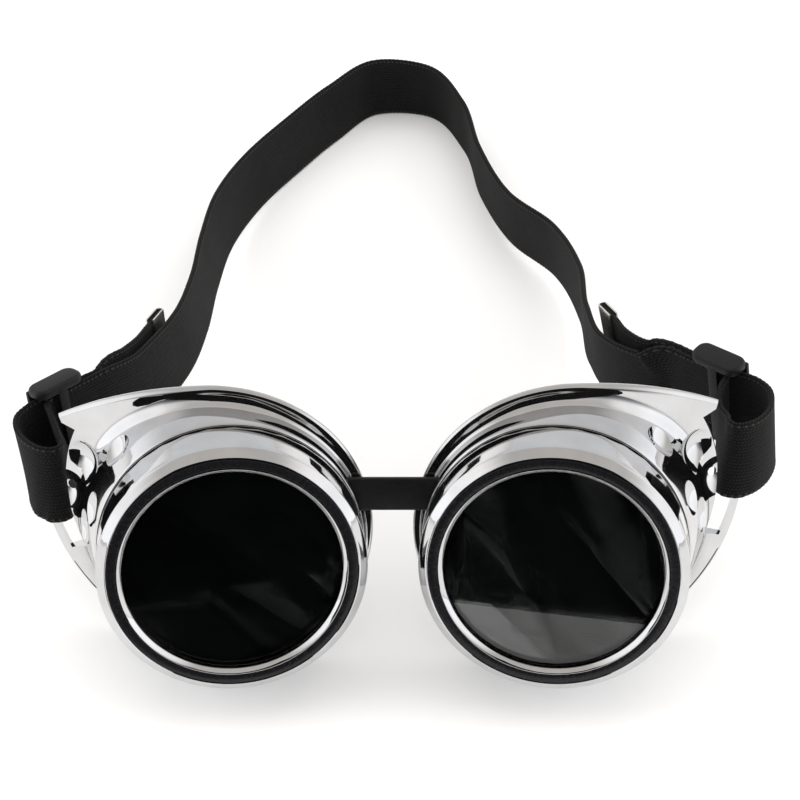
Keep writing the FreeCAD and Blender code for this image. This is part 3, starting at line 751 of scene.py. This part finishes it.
def build_cup(side_name):
    tip = math.atan2(EAR_TIP[1] - OUTLINE_MIDDLE[1], EAR_TIP[0] - OUTLINE_MIDDLE[0])
    angles = sorted([2 * math.pi * i / 300 for i in range(300)] + [tip])
    columns = [cup_column(u) for u in angles]
    verts = [Vector((x, y, -d)) * MM for column in columns for x, y, d in column]
    cup = new_object("eye_cup_chrome_" + side_name, verts,
                     loops_to_faces(len(columns), len(columns[0])), CHROME)
    carve(cup, cup_cutters())
    roll = math.radians(CUP_ROLL[side_name]) * SIDES[side_name]
    cup.data.transform(Matrix.Rotation(roll, 4, "Z"))
    carve(cup, [bridge_cutter()])
    soften(cup, 0.22, 2, 50.0)
    finish_mesh(cup, 35.0)
    # Painted shade: the collar and shoulder faces under the ring's back edge take the near-black
    # material, standing in for the shade in the gap between ring and cup.
    cup.data.materials.append(COLLAR_GAP_SHADE)
    for face in cup.data.polygons:
        reach = math.hypot(face.center.x, face.center.y) / MM
        depth = -face.center.z / MM
        if SHADE_GAP_REACH[0] < reach < SHADE_GAP_REACH[1] and SHADE_GAP_DEPTH[0] < depth < SHADE_GAP_DEPTH[1]:
            face.material_index = 1
    to_eye(cup, SIDES[side_name])
    place(cup, "cup_" + side_name, "chromed_plastic", "eye_cup_" + side_name)


# ---------------------------------------------------------------- nose bridge

def build_bridge():
    """A flat rubber strip with a head inside each cup, in two halves."""
    slot = eye_matrix(1) @ (Vector(BRIDGE_SLOT) * MM)
    half = slot.x / MM + BRIDGE_INSET
    tilt = Matrix.Translation((0, slot.y, slot.z)) @ Matrix.Rotation(-LENS_RISE, 4, "X")
    stations = [(half * i / 14, BRIDGE_TALL, BRIDGE_THICK) for i in range(12)]
    stations += [(half - HEAD_LENGTH, 3.95, 0.65), (half - 1.15, 4.5, 1.1), (half - 1.0, 5.0, 1.4),
                 (half - 0.5, 5.2, 1.5), (half + 0.5, 5.2, 1.5), (half + 1.0, 5.0, 1.4),
                 (half + 1.18, 4.4, 1.0)]
    for side_name, side in SIDES.items():
        verts = []
        for along, tall, thick in stations:
            rounding = min(0.45, thick * 0.7)
            for corner_x, corner_y, start in ((1, 1, 0), (-1, 1, 90), (-1, -1, 180), (1, -1, 270)):
                for i in range(4):
                    angle = math.radians(start + 30 * i)
                    y = corner_x * (thick - rounding) + rounding * math.cos(angle)
                    z = corner_y * (tall - rounding) + rounding * math.sin(angle)
                    lean = HEAD_SLOPE * max(along - half + HEAD_LENGTH, 0) / HEAD_LENGTH
                    shift = min(lean, HEAD_SLOPE) * z
                    verts.append(tilt @ (Vector((side * (along + shift), y, z)) * MM))
        rows, columns = len(stations), 16
        faces = loops_to_faces(rows, columns, close_rows=False)
        faces += [tuple(range(columns)), tuple(range((rows - 1) * columns, rows * columns))]
        strip = new_object("nose_bridge_half_" + side_name, verts, faces, BRIDGE)
        if side < 0:
            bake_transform(strip)
        else:
            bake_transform(strip)
        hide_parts("nose_bridge")


# ---------------------------------------------------------------- strap

def slider_matrix(side_name):
    """A slider's local frame in millimetres: X back along the strap, Z up its width."""
    spec = SLIDERS[side_name]
    heading, pitch, lean = (math.radians(spec[k]) for k in ("heading", "pitch", "lean"))
    travel = Vector((math.cos(heading) * math.cos(pitch), math.sin(heading) * math.cos(pitch),
                     -math.sin(pitch)))
    up = (Vector((0, 0, 1)) - travel * travel.z).normalized()
    rise = up * math.cos(lean) + travel.cross(up) * math.sin(lean)
    matrix = Matrix((travel, rise.cross(travel), rise)).transposed().to_4x4()
    matrix.translation = Vector(spec["centre"])
    return matrix


def straight(side_name, starts, ends, layer):
    """Stations along one of the strap's two layers inside a slider."""
    side = SIDES[side_name]
    lean = SLIDERS[side_name]["lean"] * (1 if ends > starts else -1)
    matrix = slider_matrix(side_name)
    stations = []
    for i in range(STRAIGHT_PIECES + 1):
        along = starts + (ends - starts) * i / STRAIGHT_PIECES
        point = matrix @ Vector((along, LAYER_OFFSET * layer * -side, 0))
        stations.append((*point, lean))
    return stations


def tail_end(side_name):
    """The loose end's last point, the direction it runs in, and its lean."""
    tail = TAILS[side_name]
    start = Vector(tail[-1][:3])
    travel = (start - Vector(tail[-2][:3])).normalized()
    return start + travel * TIP_LENGTH, travel, tail[-1][3]


def spline(stations, step):
    """A smooth path through the stations, as even rows of x, y, z and lean, and its lengths."""
    points = np.array(stations, float)
    lengths = np.linalg.norm(np.diff(points[:, :3], axis=0), axis=1)
    knots = np.concatenate([[0], np.cumsum(lengths)])
    slopes = np.gradient(points, knots, axis=0, edge_order=1)
    dense = np.arange(0, knots[-1], step / 2)
    cell = np.clip(np.searchsorted(knots, dense, side="right") - 1, 0, len(knots) - 2)
    span = lengths[cell]
    t = ((dense - knots[cell]) / span)[:, None]
    span = span[:, None]
    curve = ((2 * t ** 3 - 3 * t ** 2 + 1) * points[cell]
             + (t ** 3 - 2 * t ** 2 + t) * span * slopes[cell]
             + (-2 * t ** 3 + 3 * t ** 2) * points[cell + 1]
             + (t ** 3 - t ** 2) * span * slopes[cell + 1])
    curve = np.vstack([curve, points[-1:]])
    for _ in range(14):
        curve[1:-1] = curve[1:-1] * 0.5 + (curve[:-2] + curve[2:]) * 0.25
    lengths = np.linalg.norm(np.diff(curve[:, :3], axis=0), axis=1)
    knots = np.concatenate([[0], np.cumsum(lengths)])
    even = np.linspace(0, knots[-1], int(knots[-1] / step) + 1)
    return np.stack([np.interp(even, knots, curve[:, k]) for k in range(4)], axis=1), even


def strap_section():
    """The strap's cross-section, half width and half thickness of 1, with beaded edges."""
    shares = [0.0, 0.2, 0.4, 0.6, 0.75, 0.86, 0.92, 0.955, 0.98, 0.995]
    heights = [0.9, 0.9, 0.9, 0.9, 0.9, 0.9, 0.96, 1.0, 0.86, 0.5]
    upper = [(s, h) for s, h in zip(shares, heights)]
    upper.append((1.0, 0.0))
    lower = [(s, -h) for s, h in reversed(upper[:-1])]
    right = upper + lower
    left = [(-s, h) for s, h in reversed(right[1:-1])]
    return right + left


def strap_mesh(name, stations, side):
    """A ribbon of knitted elastic with picked edges, its stitches running on past the middle."""
    path, along = spline(stations, STRAP_STEP)
    past = int(np.argmax(side * (MIDDLE_X - path[:, 0]) >= 0))
    share = (MIDDLE_X - path[past - 1, 0]) / (path[past, 0] - path[past - 1, 0])
    end = path[past - 1] + share * (path[past] - path[past - 1])
    along = np.append(along[:past], along[past - 1] + share * (along[past] - along[past - 1]))
    ahead = np.gradient(path[:, :3], axis=0)[:past + 1]
    path = np.vstack([path[:past], end])
    section = strap_section()
    verts, along_mm, across_mm = [], [], []
    for i, row in enumerate(path):
        travel = Vector(ahead[i]).normalized()
        up = (Vector((0, 0, 1)) - travel * travel.z).normalized()
        right = travel.cross(up)
        lean = math.radians(row[3])
        rise = up * math.cos(lean) + right * math.sin(lean)
        across = travel.cross(rise)
        picks = abs((along[i] / PICK_SPACING) % 1.0 * 2 - 1)
        half = STRAP_WIDTH / 2 - 0.1 * picks
        for share, height in section:
            edge = max(abs(share) - 0.9, 0) * 10
            offset = height * STRAP_THICKNESS / 2 * (1 - 0.25 * edge * picks)
            point = Vector(row[:3]) + rise * (share * half) + across * offset
            verts.append(point * MM)
            along_mm.append(side * (along[-1] - along[i]))
            across_mm.append(share * half)
    rows, columns = len(path), len(section)
    faces = loops_to_faces(rows, columns, close_rows=False)
    faces.append(tuple(range(columns)))
    mesh = bpy.data.meshes.new(name)
    mesh.from_pydata([tuple(v) for v in verts], [], faces)
    for label, values in (("along_mm", along_mm), ("across_mm", across_mm)):
        attribute = mesh.attributes.new(label, "FLOAT", "POINT")
        attribute.data.foreach_set("value", np.array(values, np.float32))
    mesh.materials.append(ELASTIC)
    obj = link_new(name, mesh)
    bm = bmesh.new()
    bm.from_mesh(mesh)
    bmesh.ops.recalc_face_normals(bm, faces=bm.faces)
    bm.to_mesh(mesh)
    bm.free()
    mesh.shade_smooth()
    return obj


def strap_stations(side_name, back):
    """From the loose end, round the ear's loop, through the slider and on along the back."""
    end, _travel, lean = tail_end(side_name)
    stations = [(*end, -lean)]
    stations += [(x, y, z, -tilt) for x, y, z, tilt in reversed(TAILS[side_name])]
    stations += straight(side_name, SLIDER_REAR, SLIDER_FRONT, 1)
    stations += LOOPS[side_name]
    stations += straight(side_name, INNER_START, SLIDER_REAR, -1)
    return stations + back


def build_strap():
    left_back = BACK[:14]
    right_back = [(x, y, z, -lean) for x, y, z, lean in reversed(BACK[7:])]
    for side_name, back in (("left", left_back), ("right", right_back)):
        strap = strap_mesh("elastic_strap_" + side_name, strap_stations(side_name, back),
                           SIDES[side_name])
        if side_name == "left":
            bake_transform(strap)
        else:
            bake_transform(strap)
        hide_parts("strap_end_" + side_name, "strap_back")


def build_slider(side_name):
    """A moulded frame: two side rails and three cross bars, all rounded."""
    side = SIDES[side_name]
    half_gap, play, side_play = 0.2, 0.3, 0.65
    rail, bar, length, bar_width = 2.4, 1.1, 13.0, 2.6
    corner, edge = 2.2, 0.9
    channel = STRAP_THICKNESS + half_gap + play
    half_width = STRAP_WIDTH / 2 + side_play
    deep = 2 * (channel + bar)
    name = "strap_slider_frame_" + side_name
    body = rounded_plate(name, (length, deep, rail), (0, 0, half_width + rail / 2), corner,
                         edge, PLASTIC)
    pieces = [rounded_plate("part", (length, deep, rail), (0, 0, -half_width - rail / 2), corner,
                            edge, PLASTIC)]
    outside = -side * (channel + bar / 2)
    inside = side * (channel + bar / 2)
    tall = 2 * half_width + rail
    for along, across in ((-length / 2 + bar_width / 2, outside), (0, inside),
                          (length / 2 - bar_width / 2, outside)):
        pieces.append(rounded_box("part", (bar_width, bar, tall), (along, across, 0), 0.35,
                                  PLASTIC))
    carve(body, pieces, "UNION")
    finish_mesh(body, 40.0)
    scale = Matrix.Scale(MM, 4)
    body.data.transform(scale @ slider_matrix(side_name) @ Matrix.Scale(1 / MM, 4))
    place(body, "slider_" + side_name, "slider_plastic", "strap_slider_" + side_name)


def build_tip(side_name):
    """A folded strip of sheet metal, closed over the loose end and pressed at its mouth."""
    end, travel, lean = tail_end(side_name)
    up = (Vector((0, 0, 1)) - travel * travel.z).normalized()
    angle = math.radians(lean)
    rise = up * math.cos(angle) + travel.cross(up) * math.sin(angle)
    across = rise.cross(travel)
    metal, gap, tall = 0.4, STRAP_THICKNESS / 2 + 0.1, STRAP_WIDTH / 2 + 0.4
    profile = [(-6.5, gap), (-6.2, gap), (-4.0, gap), (0.0, gap)]
    profile += [(gap * math.sin(a) * 0.75, gap * math.cos(a))
                for a in (math.pi * i / 8 for i in range(1, 8))]
    profile += [(0.0, -gap), (-4.0, -gap), (-6.2, -gap), (-6.5, -gap)]
    outer = [(-6.5, -gap - metal * 0.8), (-6.2, -gap - metal), (-4.0, -gap - metal),
             (0.0, -gap - metal)]
    far = gap + metal
    outer += [(far * math.sin(a) * 0.42, -far * math.cos(a))
              for a in (math.pi * i / 8 for i in range(1, 8))]
    outer += [(0.0, far), (-4.0, far), (-6.2, far), (-6.5, gap + metal * 0.8)]
    outline = profile + outer
    verts = []
    for share in (-1.0, -0.97, 0.97, 1.0):
        pinch = 0.036 if abs(share) == 1.0 else 0.0
        for along, offset in outline:
            wide = offset * (1 - pinch)
            verts.append((end + travel * (along - 0.02) + across * wide
                          + rise * (share * tall)) * MM)
    columns = len(outline)
    faces = loops_to_faces(4, columns, close_rows=False)
    half = len(profile)
    for row in (0, 3):
        base = row * columns
        for i in range(half - 1):
            faces.append((base + i, base + i + 1, base + columns - 2 - i, base + columns - 1 - i))
    tip = new_object("strap_tip_fold_" + side_name, verts, faces, NICKEL, 40.0)
    place(tip, "cup_" + side_name, "tip_metal", "strap_tip_" + side_name)


# ---------------------------------------------------------------- stage

def floor_material():
    material, shader, add, join = node_material("floor_paper")
    where = add("ShaderNodeTexCoord").outputs["Object"]
    tooth = add("ShaderNodeTexNoise", {"Vector": where, "Scale": 900.0, "Detail": 2.0})
    set_bump(add, join, shader, tooth.outputs["Fac"], 0.1, 0.00005)
    shader.inputs["Base Color"].default_value = (0.93, 0.93, 0.93, 1)
    shader.inputs["Roughness"].default_value = 0.9
    shader.inputs["Specular IOR Level"].default_value = 0.1
    return material


def tent_world():
    """A white light tent: bright panels at both sides, dimmer above, dark through its front."""
    world = bpy.data.worlds.new("light_tent")
    bpy.context.scene.world = world
    world.use_nodes = True
    tree = world.node_tree

    def ranged(socket, low, high, first, last):
        node = tree.nodes.new("ShaderNodeMapRange")
        node.interpolation_type = "SMOOTHSTEP"
        tree.links.new(socket, node.inputs["Value"])
        for key, value in (("From Min", low), ("From Max", high), ("To Min", first),
                           ("To Max", last)):
            node.inputs[key].default_value = value
        return node.outputs["Result"]

    def maths(operation, a, b=None):
        node = tree.nodes.new("ShaderNodeMath")
        node.operation = operation
        tree.links.new(a, node.inputs[0])
        if b is not None:
            tree.links.new(b, node.inputs[1])
        return node.outputs[0]

    where = tree.nodes.new("ShaderNodeTexCoord")
    split = tree.nodes.new("ShaderNodeSeparateXYZ")
    tree.links.new(where.outputs["Generated"], split.inputs[0])
    height = tree.nodes.new("ShaderNodeValToRGB")
    tree.links.new(split.outputs["Z"], height.inputs["Fac"])
    stops = [(0.0, (0.86, 0.87, 0.89)), (0.35, (0.80, 0.80, 0.81)), (0.8, (0.74, 0.72, 0.69)),
             (1.0, (0.70, 0.66, 0.62))]
    for i, (at, value) in enumerate(stops):
        stop = (height.color_ramp.elements[i] if i < 2
                else height.color_ramp.elements.new(at))
        stop.position = at
        stop.color = (*value, 1)
    sides = ranged(maths("ABSOLUTE", split.outputs["X"]), 0.5, 0.8, 1.0, 1.9)
    front = ranged(split.outputs["Y"], -0.93, -0.62, 0.03, 1.0)
    background = tree.nodes["Background"]
    tree.links.new(height.outputs["Color"], background.inputs["Color"])
    tree.links.new(maths("MULTIPLY", sides, front), background.inputs["Strength"])


def build_stage():
    bpy.ops.mesh.primitive_plane_add(size=6.0, location=(0, 0, 0))
    floor = bpy.context.object
    floor.name = "floor"
    floor.data.materials.append(floor_material())
    card_paint, shader, _add, _join = node_material("card_paint")
    shader.inputs["Base Color"].default_value = (0.01, 0.01, 0.01, 1)
    shader.inputs["Roughness"].default_value = 1.0
    shader.inputs["Specular IOR Level"].default_value = 0.0
    for name, left, right, distance, height in (("black_card", -0.15, 0.15, 0.146, 0.28),
                                                ("low_black_card", -0.12, 0.0, 0.063, 0.055)):
        bpy.ops.mesh.primitive_plane_add(
            size=1.0, location=((left + right) / 2, -distance, height / 2))
        card = bpy.context.object
        card.name = name
        card.scale = (right - left, height, 1)
        card.rotation_euler = (math.radians(90), 0, 0)
        card.data.materials.append(card_paint)
        card.visible_camera = card.visible_diffuse = card.visible_shadow = False
    tent_world()
    for name, location, size, power in (
            ("softbox_top", (0.0, 0.25, 1.0), (1.2, 1.0), 4.2),
            ("softbox_left", (-0.85, 0.0, 0.55), (0.6, 0.6), 1.6),
            ("softbox_right", (0.85, 0.0, 0.55), (0.6, 0.6), 1.6),
            ("fill_front", (0.0, -0.9, 0.7), (0.9, 0.5), 3.6)):
        data = bpy.data.lights.new(name, "AREA")
        data.shape = "RECTANGLE"
        data.size, data.size_y = size
        data.energy = power
        light = link_new(name, data)
        light.location = location
        aim = Vector((0, 0.08, 0.03)) - light.location
        light.rotation_mode = "QUATERNION"
        light.rotation_quaternion = aim.to_track_quat("-Z", "Y")
        light.visible_glossy = False


def build_camera():
    data = bpy.data.cameras.new("camera")
    data.lens = 90.0
    data.sensor_width = 36.0
    data.clip_start, data.clip_end = 0.01, 20.0
    camera = link_new("camera", data)
    camera.location = (0.0015, -0.29018, 0.34927)
    camera.rotation_euler = (math.radians(48.0), 0, 0)
    bpy.context.scene.camera = camera


for side_name in SIDES:
    build_cup(side_name)
    build_ring(side_name)
    build_slider(side_name)
    build_tip(side_name)
    for node, material in (("cover_lens_", CLEAR), ("filter_lens_", FILTER),
                           ("lens_gasket_", GASKET)):
        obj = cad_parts[node + side_name]
        obj.data.materials.clear()
        obj.data.materials.append(material)
build_bridge()
build_strap()
build_stage()
build_camera()
bpy.context.scene.view_settings.view_transform = "Standard"
